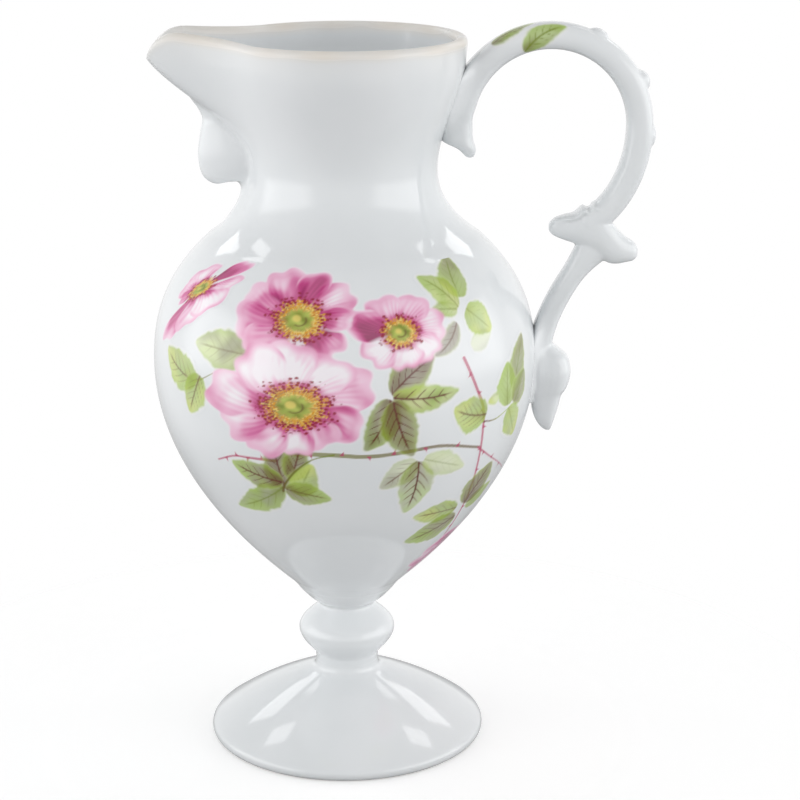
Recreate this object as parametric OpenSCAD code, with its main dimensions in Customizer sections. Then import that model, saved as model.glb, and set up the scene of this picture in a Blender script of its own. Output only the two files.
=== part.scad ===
// Milk jug of glazed porcelain: a pear-shaped bowl with a flared neck on a knopped stem and a domed foot,
// with a beaked spout, a drop under the beak and a scrolled handle. Each casting is its own solid, and
// thin layers of slip lute the castings together. Millimetres, +Z up. The origin is the centre of the
// ring that stands on the table. The spout points to -X and the handle to +X.

/* [Foot] */
// Radius of the foot at its rounded edge
foot_r = 37.2; // [32:0.2:44]
// Height of the foot from the table to its joint with the stem
foot_h = 20; // [17:0.5:26]
// Height of the rounded edge
foot_edge = 3.6; // [2.6:0.2:5]
// Wall of the foot over its hollow
foot_wall = 3.6; // [2.6:0.2:4.4]
// Width of the flat ring that stands on the table
ring_w = 4; // [2.5:0.5:6]

/* [Stem] */
// Radius of the stem where it is narrowest
stem_r = 8.4; // [7.4:0.2:10]
// Height of the plain shank above the foot
shank_h = 1.8; // [1:0.2:5]
// Radius of the knop
knop_r = 13; // [11:0.25:16]
// Height of the knop between its two narrow places
knop_h = 14.4; // [11:0.2:18]
// Radius of the cup that carries the bowl
cup_r = 13.6; // [12:0.2:16]
// Height of the cup
cup_h = 6.4; // [5:0.2:9]
// Radius of the spigots that centre the joints
spigot_r = 5.4; // [4:0.2:6.4]
// Length of the spigot under the bowl
spigot_l = 4; // [2:0.5:4.5]
// Thickness of the slip that lutes the castings together
slip_t = 0.4; // [0.2:0.1:0.8]

/* [Bowl] */
// Radius of the bowl where it stands on the cup
base_r = 13.5; // [11:0.25:15]
// Height of the belly above the bowl's base
belly_h = 62.6; // [50:0.2:75]
// Radius of the belly
belly_r = 50.4; // [44:0.2:58]
// Height of the shoulder crease above the belly
dome_h = 32.5; // [26:0.5:40]
// Radius of the shoulder crease
shoulder_r = 36; // [31:0.5:40]
// Wall of the bowl, neck and spout
wall = 3; // [2.2:0.1:3.8]
// Thickness of the bowl's floor
floor_t = 5.6; // [4:0.2:8]

/* [Neck] */
// Height of the waist above the shoulder crease
throat_h = 18; // [14:0.5:24]
// Radius of the waist
waist_r = 24.3; // [21:0.1:27]
// Height of the rim above the waist
neck_h = 34; // [28:0.5:42]
// Height of the upright stretch below the rim
lip_h = 6; // [4:0.25:9]
// Radius of the upright stretch
lip_r = 31.5; // [28:0.1:34]

/* [Spout] */
// How far the beak stands out from the neck
spout_reach = 19.5; // [12:0.25:24]
// Half the angle that the spout takes out of the neck
spout_a = 46; // [38:1:56]
// Height of the spout's lower edge below the rim
spout_h = 30; // [26:0.5:31]
// Height of the beak's tip below the rim
tip_drop = 4.5; // [2:0.25:8]
// Rise of the two lips beside the beak
lips_rise = 2.5; // [0.5:0.25:4]
// How far the drop under the beak stands out from the waist
drop_reach = 13.5; // [9:0.1:16]
// Length of the drop
drop_l = 20.5; // [16:0.5:22]
// Width of the drop
drop_w = 11; // [7:0.25:13]

/* [Handle] */
// Thickness of the handle, seen from the side
handle_t = 7; // [5.5:0.25:8.5]
// Width of the handle, seen from the back
handle_w = 8.6; // [6.5:0.2:11]
// Radius of the loop at the middle of its thickness
loop_r = 23.1; // [19:0.1:27]
// Height of the loop's lower half at the middle of its thickness
loop_low = 28.8; // [24:0.2:34]
// Height of the loop's centre below the rim
loop_drop = 23; // [19:0.1:26]
// Length of the two-lobed knuckle
knuckle_l = 25.2; // [19:0.2:29]
// Thickness of the knuckle
knuckle_t = 11; // [8.5:0.25:13]
// Thickness of the strut below the knuckle
strut_t = 5.8; // [4.6:0.2:7.4]
// Length of the leaf that ends the strut
leaf_l = 23.5; // [18:0.5:28]
// Thickness of the leaf
leaf_t = 10.8; // [9:0.2:13]
// Width of the leaf
leaf_w = 12; // [9:0.25:15]
// Height of the largest thorn on the back of the loop
thorn_h = 1.8; // [0.8:0.1:2.6]

/* [Hidden] */
porcelain = [0.94, 0.95, 0.96];
slip_grey = [0.84, 0.85, 0.85];
$fn = 96;

// Heights above the table, each from the one below it
stem_z = foot_h + slip_t;
knop_z = stem_z + shank_h;
cup_z = knop_z + knop_h;
base_z = cup_z + cup_h + slip_t;
belly_z = base_z + belly_h;
shoulder_z = belly_z + dome_h;
waist_z = shoulder_z + throat_h;
rim_z = waist_z + neck_h;
lip_z = rim_z - lip_h;

// Slopes of the vessel's outline, as radius gained for each unit of height
base_flare = 1.15;
dome_slope = -1.1;
crease_slope = -1.5;
lip_flare = 0.08;

// A radius between two heights, with its slope at both ends
function curve(z, z0, r0, m0, z1, r1, m1) =
  let (h = z1 - z0, t = (z - z0) / h)
  r0 * (2 * t ^ 3 - 3 * t ^ 2 + 1) + h * m0 * (t ^ 3 - 2 * t ^ 2 + t)
  + r1 * (3 * t ^ 2 - 2 * t ^ 3) + h * m1 * (t ^ 3 - t ^ 2);

// Even steps from a to b
function spread(a, b, n) = [for (i = [0:n]) a + (b - a) * i / n];

// Outer radius of the vessel at a height
function body_r(z) =
  z < belly_z ? curve(z, base_z, base_r, base_flare, belly_z, belly_r, 0) :
  z < shoulder_z ? curve(z, belly_z, belly_r, 0, shoulder_z, shoulder_r, dome_slope) :
  z < waist_z ? curve(z, shoulder_z, shoulder_r, crease_slope, waist_z, waist_r, 0) :
  z < lip_z ? curve(z, waist_z, waist_r, 0, lip_z, lip_r, lip_flare) :
  lip_r + lip_flare * (z - lip_z);

// How fast that radius grows with height
slope_step = 0.05;
function body_slope(z) = (body_r(z + slope_step) - body_r(z - slope_step)) / (2 * slope_step);

// Radius of the hollow at a height
function hollow_r(z) = body_r(z) - wall * sqrt(1 + body_slope(z) ^ 2);

// Heights at which the vessel's outline has a point, from the base to the lip's rounding
lip_top = rim_z - wall / 2;
outline_z = concat(spread(base_z, belly_z, 20), spread(belly_z + 3, shoulder_z, 10),
  spread(shoulder_z + 1, waist_z, 9), spread(waist_z + 2, lip_z, 11), [lip_top]);

// The rounded lip between two radii, from the outside in
function lip_arc(r_out, r_in, z) = [for (a = spread(20, 160, 7))
  [(r_out + r_in) / 2 + (r_out - r_in) / 2 * cos(a), z + wall / 2 * sin(a)]];

// The bowl's round floor, from its edge to the axis
floor_dish = 9;
floor_z = base_z + floor_t;
floor_edge_z = floor_z + floor_dish;
function floor_arc() = let (r = hollow_r(floor_edge_z))
  [for (k = spread(1, 0, 8)) [r * k, floor_z + floor_dish * k ^ 2]];

// The vessel's solid form, grown by a layer
module vessel_form(layer) {
  rotate_extrude() polygon(concat(
    [[0, base_z]],
    [for (z = outline_z) [body_r(z) + layer, z]],
    [[0, lip_top]]));
}

// The vessel's wall, with the spigot under its base
module vessel_shell() {
  inside = [for (z = outline_z) if (z > floor_edge_z) z];
  rotate_extrude() polygon(concat(
    [[0, base_z - spigot_l], [spigot_r, base_z - spigot_l], [spigot_r, base_z]],
    [for (z = outline_z) [body_r(z), z]],
    lip_arc(body_r(lip_top), hollow_r(lip_top), lip_top),
    [for (i = [len(inside) - 1:-1:0]) [hollow_r(inside[i]), inside[i]]],
    floor_arc()));
}

// The wedge that the spout takes out of the neck, grown by a layer
notch_z = rim_z - spout_h;
module notch(layer) {
  far = 3 * lip_r;
  translate([layer / sin(spout_a), 0, notch_z - layer])
    linear_extrude(2 * spout_h)
      polygon([[0, 0], far * [-cos(spout_a), sin(spout_a)], far * [-cos(spout_a), -sin(spout_a)]]);
}

// Bowl and neck: one drain casting, with a spigot below and a notch for the spout
module body() {
  color(porcelain) difference() {
    vessel_shell();
    notch(slip_t);
  }
}

// Foot: domed casting, hollow below, with a hole in its crown for the stem's spigot
edge_r = foot_edge / 2;
edge_step = 0.6 * edge_r;
edge_slope = -1.35;
crown_fillet = 2.4;
crown_h = 3.6;
crown_slope = -2.4;
shank_slope = -0.2;
hole_r = spigot_r + slip_t;
hole_land = 1;
crown_r = stem_r + crown_fillet;
crown_z = foot_h - crown_h;
ring_out = foot_r - edge_r;
ring_in = ring_out - ring_w;
hollow_top = crown_z - foot_wall;
function dome_r(z) = curve(z, foot_edge, foot_r - edge_step, edge_slope, crown_z, crown_r, crown_slope);
function crown_fillet_r(z) = curve(z, crown_z, crown_r, crown_slope, foot_h, stem_r, shank_slope);
function under_r(z) = curve(z, 0, ring_in, edge_slope, hollow_top, hole_r + hole_land, crown_slope);
module foot() {
  color(porcelain) rotate_extrude() polygon(concat(
    [[ring_in, 0]],
    [for (a = spread(-90, 50, 8)) [ring_out + edge_r * cos(a), edge_r + edge_r * sin(a)]],
    [for (z = spread(foot_edge, crown_z, 12)) [dome_r(z), z]],
    [for (z = spread(crown_z, foot_h, 6)) if (z > crown_z) [crown_fillet_r(z), z]],
    [[hole_r, foot_h], [hole_r, hollow_top]],
    [for (z = spread(hollow_top, 0, 10)) if (z > 0) [under_r(z), z]]));
}

// Slip between the foot's crown and the stem, and round the stem's spigot
module foot_slip() {
  color(slip_grey) rotate_extrude() polygon([[spigot_r, hollow_top], [hole_r, hollow_top],
    [hole_r, foot_h], [stem_r - slip_t, foot_h], [stem_r - slip_t, stem_z], [spigot_r, stem_z]]);
}

// Stem: turned casting with a knop, a cup above that takes the bowl and a spigot below
cup_top = base_z - slip_t;
knop_bulge = 1.3;
cup_round = 1.25;
function knop_at(t) = [stem_r + (knop_r - stem_r) * sin(180 * t) ^ knop_bulge, knop_z + knop_h * t];
function cup_at(t) = [stem_r + (cup_r - stem_r) * sin(90 * t) ^ cup_round, cup_z + cup_h * t];
module stem() {
  color(porcelain) rotate_extrude() polygon(concat(
    [[0, hollow_top], [spigot_r, hollow_top], [spigot_r, stem_z], [stem_r, stem_z]],
    [for (t = spread(0, 1, 18)) knop_at(t)],
    [for (t = spread(0, 1, 8)) if (t > 0) cup_at(t)],
    [[hole_r, cup_top], [hole_r, cup_top - spigot_l], [0, cup_top - spigot_l]]));
}

// Slip between the stem's cup and the bowl, and round the bowl's spigot
module stem_slip() {
  color(slip_grey) rotate_extrude() polygon([[0, cup_top - spigot_l], [hole_r, cup_top - spigot_l],
    [hole_r, cup_top], [base_r - slip_t, cup_top], [base_r - slip_t, base_z], [spigot_r, base_z],
    [spigot_r, base_z - spigot_l], [0, base_z - spigot_l]]);
}

// Joins equal rings of points into one closed solid
module skin(rings) {
  n = len(rings[0]);
  last = len(rings) - 1;
  sides = [for (i = [0:last - 1], j = [0:n - 1])
    let (a = i * n + j, b = i * n + (j + 1) % n) each [[a, b, b + n], [a, b + n, a + n]]];
  polyhedron([for (ring = rings) each ring],
    concat([[for (j = [n - 1:-1:0]) j]], sides, [[for (j = [0:n - 1]) last * n + j]]), convexity = 8);
}

// Outer face of the spout: u runs from -1 to 1 across it, and z is the height
tip_z = rim_z - tip_drop;
flare_a = 70;
flare_power = 1.7;
beak_power = 2.8;
pinch = 2.09;
function beak_share(z) = z <= notch_z ? 0 :
  (sin(min(90, flare_a * (z - notch_z) / (tip_z - notch_z))) / sin(flare_a)) ^ flare_power;
function spout_xy(u, z) =
  let (side = max(0, 1 - u * u), k = beak_share(z), r = body_r(z))
  [-r * cos(u * spout_a) - spout_reach * side ^ beak_power * k,
   r * sin(u * spout_a) * (1 - pinch * u * u * side ^ 3 * k)];

// Inner face of the spout, a wall's thickness inside the outer one
u_step = 0.01;
function spout_in(u, z) =
  let (across = spout_xy(u + u_step, z) - spout_xy(u - u_step, z),
    n = [across.y, -across.x] / norm(across),
    up = (spout_xy(u, z + slope_step) - spout_xy(u, z - slope_step)) / (2 * slope_step))
  spout_xy(u, z) + n * wall * sqrt(1 + (up * n) ^ 2);

// Height of the lip: the two lips rise beside the beak, and its tip dips
tip_span = 0.45;
function spout_top(u) = rim_z + lips_rise * max(0, 1 - u * u) ^ 2
  - (tip_drop + lips_rise) * max(0, 1 - (u / tip_span) ^ 2) ^ 2;

// One slice through the spout's wall, up the outside, over the lip and down the inside
function spout_slice(u) =
  let (top = spout_top(u) - wall / 2, heights = spread(notch_z, top, 13),
    out = spout_xy(u, top), in = spout_in(u, top))
  concat([for (z = heights) concat(spout_xy(u, z), z)],
    [for (a = spread(30, 150, 4))
      concat((out + in) / 2 + (out - in) / 2 * cos(a), top + wall / 2 * sin(a))],
    [for (i = [len(heights) - 1:-1:0]) concat(spout_in(u, heights[i]), heights[i])]);

// Spout: beaked casting let into the notch of the neck
module spout() {
  color(porcelain) skin([for (u = spread(-1, 1, 32)) spout_slice(u)]);
}

// Slip along the sides and the lower edge of the spout
module spout_slip() {
  color(slip_grey) intersection() {
    vessel_shell();
    difference() {
      notch(slip_t);
      notch(0);
    }
  }
}

// One level slice through the drop: its back lies on the neck and the beak, its front is round
drop_low = 4;
drop_z = waist_z - drop_low;
drop_front = waist_r + drop_reach;
drop_toe = 0.55;
drop_round = 0.2;
toe_tuck = 5.5;
hollow_from = 0.45;
hollow_span = 0.65;
hollow_tuck = 1.4;
drop_least = 1;
drop_power = 0.7;
function drop_slice(t) =
  let (z = drop_z + drop_l * t,
    half = drop_w / 2 * (drop_toe + (1 - drop_toe) * sin(min(90, 200 * t))),
    tuck = toe_tuck * (1 - min(1, t / drop_round)) ^ 2
      + hollow_tuck * sin(180 * max(0, t - hollow_from) / hollow_span),
    u_side = asin(half / body_r(z)) / spout_a,
    back = [for (u = spread(-u_side, u_side, 8)) spout_xy(u, z)],
    edge = back[0],
    depth = max(drop_least, drop_front - tuck + edge.x))
  concat([for (p = back) concat(p, z)],
    [for (a = spread(15, 165, 10)) [edge.x - depth * sin(a) ^ drop_power, -edge.y * cos(a), z]]);

// Drop: the rounded pendant under the beak, luted to the neck
module spout_drop() {
  color(porcelain) skin([for (t = spread(0, 1, 18)) drop_slice(t)]);
}

// One thin oval slice of the handle: place in X and Z, direction, half thickness, half width
oval_power = 0.75;
oval_t = 0.3;
function part_power(s) = sign(s) * abs(s) ^ oval_power;
module oval(s) {
  outline = [for (a = [0:18:342]) [s[4] * part_power(cos(a)), s[3] * part_power(sin(a))]];
  translate([s[0], 0, s[1]]) rotate([90, 0, 90]) rotate([s[2], 0, 0])
    linear_extrude(oval_t, center = true) polygon(outline);
}

// A run of handle through oval slices
module run(slices) {
  for (i = [0:len(slices) - 2]) hull() {
    oval(slices[i]);
    oval(slices[i + 1]);
  }
}

// Loop: C-scroll whose upper end lies against the neck and curls into a spur
loop_z = rim_z - loop_drop;
loop_x = body_r(loop_z) + loop_r + handle_t / 2;
loop_end = -64;
spur_a = 22;
function loop_at(a, r) = [loop_x + r * cos(a), loop_z + (a < 0 ? r * loop_low / loop_r : r) * sin(a)];
function loop_slice(a) =
  let (p = loop_at(a, loop_r), taper = sqrt(1 - (max(0, a - 180) / spur_a) ^ 2),
    low = a < 0 ? loop_low : loop_r)
  [p.x, p.y, -atan2(low * cos(a), -loop_r * sin(a)), handle_t / 2 * taper, handle_w / 2 * taper];
module loop_form() {
  run([for (a = spread(loop_end, 180 + spur_a - 1, 40)) loop_slice(a)]);
}
module handle_loop() {
  color(porcelain) difference() {
    loop_form();
    vessel_form(slip_t);
    knuckle_form();
  }
}

// Thorns: small sprigs on the back of the loop
thorn_tip = 0.5;
thorn_base = 2.4;
thorn_sunk = 0.7 * thorn_base;
thorn_lean = 3;
loop_back = loop_r + handle_t / 2;
thorns = [[59, 1], [28, 0.85], [-3, 0.45]];
module handle_thorns() {
  color(porcelain) difference() {
    for (thorn = thorns) hull() {
      base_at = loop_at(thorn[0] - thorn_lean, loop_back - thorn_sunk);
      tip_at = loop_at(thorn[0] + thorn_lean, loop_back + thorn_h * thorn[1] - thorn_tip);
      translate([base_at.x, 0, base_at.y]) sphere(thorn_base, $fn = 24);
      translate([tip_at.x, 0, tip_at.y]) sphere(thorn_tip, $fn = 16);
    }
    loop_form();
  }
}

// Knuckle: two-lobed leaf that carries the loop's lower end
knuckle_a = -54;
knuckle_shift = [-1.9, -6.3];
knuckle_at = loop_at(knuckle_a, loop_r) + knuckle_shift;
knuckle_tilt = 16;
knuckle_w = handle_w + 1.6;
knuckle_end = 0.14;
knuckle_power = 0.75;
function knuckle_slice(t) =
  let (along = knuckle_l * (t - 0.5),
    fat = knuckle_end + (1 - knuckle_end) * sin(180 * t) ^ knuckle_power)
  [knuckle_at.x + along * cos(knuckle_tilt), knuckle_at.y - along * sin(knuckle_tilt), knuckle_tilt,
   knuckle_t / 2 * fat, knuckle_w / 2 * fat];
module knuckle_form() {
  run([for (t = spread(0, 1, 12)) knuckle_slice(t)]);
}
module handle_knuckle() {
  color(porcelain) knuckle_form();
}

// Strut: S-shaped stay from the knuckle to the belly, which ends in a hanging leaf
leaf_out = 4;
leaf_x = belly_r + leaf_out;
leaf_rise = 1.6;
leaf_top = belly_z + leaf_rise;
leaf_fullest = 0.35;
leaf_tip = 0.97;
leaf_neck = 0.45;
leaf_lean = 2.2;
strut_sunk = 2;
strut_z = leaf_top - strut_sunk;
strut_top = knuckle_at + [2, 0];
strut_end = [body_r(strut_z) + 1.2, strut_z];
strut_pull = norm(strut_top - strut_end);
strut_leave = [-0.62, -0.78] * strut_pull;
strut_flare = 0.38;
strut_w = handle_w - 1;
function strut_at(t) = [
  curve(t, 0, strut_top.x, strut_leave.x, 1, strut_end.x, 0),
  curve(t, 0, strut_top.y, strut_leave.y, 1, strut_end.y, -strut_pull)];
function strut_slice(t) =
  let (p = strut_at(t),
    ahead = strut_at(t + u_step) - p,
    flare = 1 + (max(0, strut_flare - t) / strut_flare) ^ 2)
  [p.x, p.y, -atan2(ahead.y, ahead.x), strut_t / 2 * flare, strut_w / 2];
function leaf_slice(t) =
  let (after = max(0, t - leaf_fullest) / (1 - leaf_fullest),
    before = max(0, leaf_fullest - t) / leaf_fullest,
    fat = 1 - leaf_tip * after ^ 2 - leaf_neck * before ^ 2)
  [leaf_x - leaf_lean * before ^ 2, leaf_top - leaf_l * t, 90, leaf_t / 2 * fat, leaf_w / 2 * fat];
module strut_form() {
  run([for (t = spread(0, 1, 14)) strut_slice(t)]);
  run([for (t = spread(0, 1, 16)) leaf_slice(t)]);
}
module handle_strut() {
  color(porcelain) difference() {
    strut_form();
    vessel_form(slip_t);
    knuckle_form();
  }
}

// A round patch of slip on the vessel, towards the handle: height, half height, half width
patch_margin = 4;
module slip_patch(z, half_h, half_w) {
  near = [for (h = outline_z) if (abs(h - z) < half_h + patch_margin) h];
  intersection() {
    rotate_extrude() polygon(concat(
      [for (h = near) [body_r(h) + slip_t, h]],
      [for (i = [len(near) - 1:-1:0]) [body_r(near[i]), near[i]]]));
    translate([0, 0, z]) rotate([90, 0, 90]) linear_extrude(2 * belly_r)
      polygon([for (a = [0:15:345]) [half_w * cos(a), half_h * sin(a)]]);
  }
}

// Slip between the loop and the neck
root_rise = 0.33;
root_half_h = 0.27;
root_half_w = 0.38;
module handle_root_slip() {
  color(slip_grey) slip_patch(loop_z + root_rise * loop_r, root_half_h * loop_r, root_half_w * handle_w);
}

// Slip between the strut's leaf and the belly
pad_drop = 0.27;
pad_half_h = 0.2;
pad_half_w = 0.33;
module handle_base_slip() {
  color(slip_grey) slip_patch(leaf_top - pad_drop * leaf_l, pad_half_h * leaf_l, pad_half_w * leaf_w);
}

foot();
foot_slip();
stem();
stem_slip();
body();
spout();
spout_slip();
spout_drop();
handle_loop();
handle_thorns();
handle_knuckle();
handle_strut();
handle_root_slip();
handle_base_slip();
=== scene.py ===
import math

import bpy
import numpy as np
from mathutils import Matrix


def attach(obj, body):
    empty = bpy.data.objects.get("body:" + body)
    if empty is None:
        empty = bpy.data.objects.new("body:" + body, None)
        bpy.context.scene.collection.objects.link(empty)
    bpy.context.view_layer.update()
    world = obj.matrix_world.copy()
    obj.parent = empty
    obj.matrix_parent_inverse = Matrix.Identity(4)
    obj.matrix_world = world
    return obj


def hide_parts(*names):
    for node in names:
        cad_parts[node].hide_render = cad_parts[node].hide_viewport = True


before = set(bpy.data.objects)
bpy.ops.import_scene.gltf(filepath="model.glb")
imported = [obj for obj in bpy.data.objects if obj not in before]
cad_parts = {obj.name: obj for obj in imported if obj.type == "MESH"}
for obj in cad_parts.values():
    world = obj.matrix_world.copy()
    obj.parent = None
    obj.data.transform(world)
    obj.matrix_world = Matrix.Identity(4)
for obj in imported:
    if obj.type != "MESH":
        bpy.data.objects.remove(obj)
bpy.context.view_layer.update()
bpy.ops.object.select_all(action="DESELECT")

# Foot. A domed porcelain casting, hollow below, that stands on a ring ground flat and left bare
# of glaze. The stem is luted into the hole in its crown.
foot_r, foot_h, edge_r, ring_in, bare_ring = 37.2, 20.0, 1.8, 31.4, 0.0003
crown_r, crown_z, shank_r, hole_r, hollow_top, hollow_r = 10.8, 17.2, 8.4, 5.8, 12.8, 6.8
edge_top, edge_in = 2 * edge_r, foot_r - 0.6 * edge_r
edge_slope, crown_slope, shank_slope = -1.35, -2.4, -0.2
glaze_grey, glaze_white = (0.745, 0.77, 0.785, 1), (0.785, 0.805, 0.82, 1)
bare_clay, gloss, coat = (0.70, 0.66, 0.60, 1), 0.06, 0.25
cloud_scale, ripple_scale, ripple_depth = 28.0, 260.0, 0.0002


def curve(z, z0, r0, m0, z1, r1, m1):
    """A radius between two heights, with its slope at both ends."""
    h = z1 - z0
    t = (np.asarray(z, float) - z0) / h
    return (r0 * (2 * t**3 - 3 * t**2 + 1) + h * m0 * (t**3 - 2 * t**2 + t)
            + r1 * (3 * t**2 - 2 * t**3) + h * m1 * (t**3 - t**2))


def turned(name, outline, steps):
    """A closed outline of (radius, height) in millimetres, spun round the jug's axis."""
    points = [(r * 0.001, z * 0.001) for r, z in outline]
    bpy.ops.mesh.primitive_plane_add(size=0.0005, location=(points[0][0], 0, points[0][1]))
    piece = bpy.context.object
    piece.name = piece.data.name = name
    bpy.ops.object.mode_set(mode="EDIT")
    bpy.ops.mesh.merge(type="CENTER")
    for (r0, z0), (r1, z1) in zip(points, points[1:]):
        bpy.ops.mesh.extrude_region_move(TRANSFORM_OT_translate={"value": (r1 - r0, 0, z1 - z0)})
    bpy.ops.mesh.select_all(action="SELECT")
    bpy.ops.mesh.spin(steps=steps, angle=2 * math.pi, center=(0, 0, 0), axis=(0, 0, 1))
    bpy.ops.mesh.select_all(action="SELECT")
    bpy.ops.mesh.remove_doubles(threshold=1e-6)
    bpy.ops.mesh.normals_make_consistent(inside=False)
    bpy.ops.object.mode_set(mode="OBJECT")
    bpy.ops.object.transform_apply(location=True, rotation=True, scale=True)
    bpy.ops.object.shade_smooth_by_angle(angle=math.radians(40))
    return piece


class Value:
    """A shader socket that Python arithmetic turns into Math nodes."""

    def __init__(self, tree, socket):
        self.tree, self.socket = tree, socket

    def node(self, kind, *inputs, output=0, **settings):
        """A node with its settings, then its inputs in their order, where None keeps what is there."""
        made = self.tree.nodes.new(kind)
        for name, setting in settings.items():
            setattr(made, name, setting)
        for socket, given in zip(made.inputs, inputs):
            if isinstance(given, Value):
                self.tree.links.new(given.socket, socket)
            elif given is not None:
                socket.default_value = given
        return Value(self.tree, made.outputs[output])

    def maths(self, operation, *inputs):
        return self.node("ShaderNodeMath", *inputs, operation=operation)

    def __add__(self, other):
        return self.maths("ADD", self, other)

    def __sub__(self, other):
        return self.maths("SUBTRACT", self, other)

    def __mul__(self, other):
        return self.maths("MULTIPLY", self, other)

    def __rsub__(self, other):
        return self.maths("SUBTRACT", other, self)

    __radd__ = __add__
    __rmul__ = __mul__

    def ramp(self, low, high):
        """0 below low and 1 above high, with a smooth rise between them."""
        return self.node("ShaderNodeMapRange", self, low, high, interpolation_type="SMOOTHSTEP")

    def mix(self, first, second):
        """A colour between two, with this value as the share of the second."""
        between = [None] * 5
        return self.node("ShaderNodeMix", self, *between, first, second, output=2, data_type="RGBA")


def glaze(name, painted=False, matt=0.0, bare=0.0):
    """A glossy porcelain glaze. Where a piece is painted, its paint lies under the gloss.

    Below the height bare, in metres, the glaze is wiped off the fired clay.
    """
    material = bpy.data.materials.new(name)
    material.use_nodes = True
    tree = material.node_tree
    shader = tree.nodes["Principled BSDF"]
    start = Value(tree, None)
    place = start.node("ShaderNodeTexCoord", output=3)
    cloud = start.node("ShaderNodeTexNoise", place, None, cloud_scale, 3.0)
    ripple = start.node("ShaderNodeTexNoise", place, None, ripple_scale, 2.0)
    colour = cloud.ramp(0.35, 0.7).mix(glaze_grey, glaze_white)
    rough = gloss + cloud * 0.05
    if painted:
        paint = start.node("ShaderNodeAttribute", attribute_name="paint")
        cover = Value(tree, paint.socket.node.outputs["Alpha"])
        colour = cover.mix(colour, paint)
        rough = rough + cover * matt
        tree.links.new((coat - cover * (0.5 * matt)).socket, shader.inputs["Coat Weight"])
    if bare:
        height = start.node("ShaderNodeSeparateXYZ", place, output=2)
        wiped = 1 - (height + cloud * bare).ramp(bare, 2 * bare)
        colour = wiped.mix(colour, bare_clay)
        rough = rough + wiped * 0.5
        tree.links.new((coat - wiped * coat).socket, shader.inputs["Coat Weight"])
    tree.links.new(colour.socket, shader.inputs["Base Color"])
    tree.links.new(rough.socket, shader.inputs["Roughness"])
    bump = start.node("ShaderNodeBump", 0.06)
    bump.socket.node.inputs["Distance"].default_value = ripple_depth
    tree.links.new((ripple * 0.5 + cloud * 2.0).socket, bump.socket.node.inputs["Height"])
    tree.links.new(bump.socket, shader.inputs["Normal"])
    shader.inputs["IOR"].default_value = 1.52
    shader.inputs["Coat Weight"].default_value = coat
    shader.inputs["Coat Roughness"].default_value = 0.04
    return material


def crown_at(z):
    """The foot's radius in the hollow curve from its crown up to the shank."""
    return float(curve(z, crown_z, crown_r, crown_slope, foot_h, shank_r, shank_slope))


edge_a = np.radians(np.linspace(-90, 50, 15))
foot_line = [(ring_in, 0.0)]
foot_line += [(foot_r - edge_r + edge_r * math.cos(a), edge_r + edge_r * math.sin(a)) for a in edge_a]
foot_line += [(float(curve(z, edge_top, edge_in, edge_slope, crown_z, crown_r, crown_slope)), z)
              for z in np.linspace(edge_top, crown_z, 30)]
foot_line += [(crown_at(z), z) for z in np.linspace(crown_z, foot_h, 12)[1:]]
foot_line += [(hole_r, foot_h), (hole_r, hollow_top)]
foot_line += [(float(curve(z, 0, ring_in, edge_slope, hollow_top, hollow_r, crown_slope)), z)
              for z in np.linspace(hollow_top, 0, 24)]
foot = turned("foot_casting", foot_line, 160)
foot.data.materials.append(glaze("foot_glaze", bare=bare_ring))
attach(foot, "root")
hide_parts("foot")

# Stem. A turned porcelain casting with a knop, and a cup that carries the bowl. Its spigot is
# luted into the foot.
knop_z, knop_h, knop_r, knop_round = 22.2, 14.8, 13.0, 1.3
cup_z, cup_h, cup_r, cup_round = 37.1, 5.9, 13.7, 0.72
pinch_r, spigot_r, seat_z, stem_rows, melt_rows = 7.0, 5.4, 20.4, 106, 7


def stem_r(z):
    """The knop between its two pinches, and the round cup above it."""
    knop = np.sin(math.pi * np.clip((z - knop_z) / knop_h, 0, 1)) ** knop_round
    cup = np.clip((z - cup_z) / cup_h, 0, 1) ** cup_round
    low = np.where(z < knop_z + knop_h / 2, shank_r, pinch_r)
    return low + (knop_r - low) * knop + (cup_r - low) * cup


stem_z = np.linspace(knop_z, cup_z + cup_h, stem_rows)
melted = np.hanning(2 * melt_rows + 1)
melted = np.convolve(np.pad(stem_r(stem_z), melt_rows, mode="edge"), melted / melted.sum(), mode="valid")
stem_line = [(0.0, hollow_top), (spigot_r, hollow_top), (spigot_r, seat_z), (shank_r, seat_z)]
stem_line += [*zip(melted, stem_z), (0.0, cup_z + cup_h)]
stem = turned("stem_casting", stem_line, 96)
stem.data.materials.append(glaze("stem_glaze"))
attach(stem, "root")
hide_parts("stem")

# Bowl, neck and spout. A drain-cast porcelain bowl with a beaked spout luted into its neck, and one
# glaze over both. The rim is worn to the warm body under the glaze.
base_z, base_r, belly_z, belly_r, shoulder_z, shoulder_r = 43.4, 13.5, 106.0, 50.3, 138.5, 36.0
waist_z, waist_r, lip_z, lip_r, rim_z, wall = 156.5, 24.3, 184.5, 31.5, 190.5, 3.0
floor_z, floor_dish = 49.0, 9.0
spout_a, spout_reach, notch_z, tip_z, tip_drop, lips_rise = 46.0, 19.5, 160.5, 186.0, 4.5, 2.5
spout_rise, spout_power, spout_narrow, beak_power, tip_share = 70, 1.7, 2.09, 2.8, 0.45
base_slope, shoulder_low, shoulder_high, lip_slope = 1.15, -1.1, -1.5, 0.08
worn_clay, worn_cover, worn_line, worn_stain, worn_inside = (0.76, 0.68, 0.58), 0.66, 2.4, 3.2, 1.6
lip_top, dish_z = rim_z - wall / 2, floor_z + floor_dish


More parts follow.
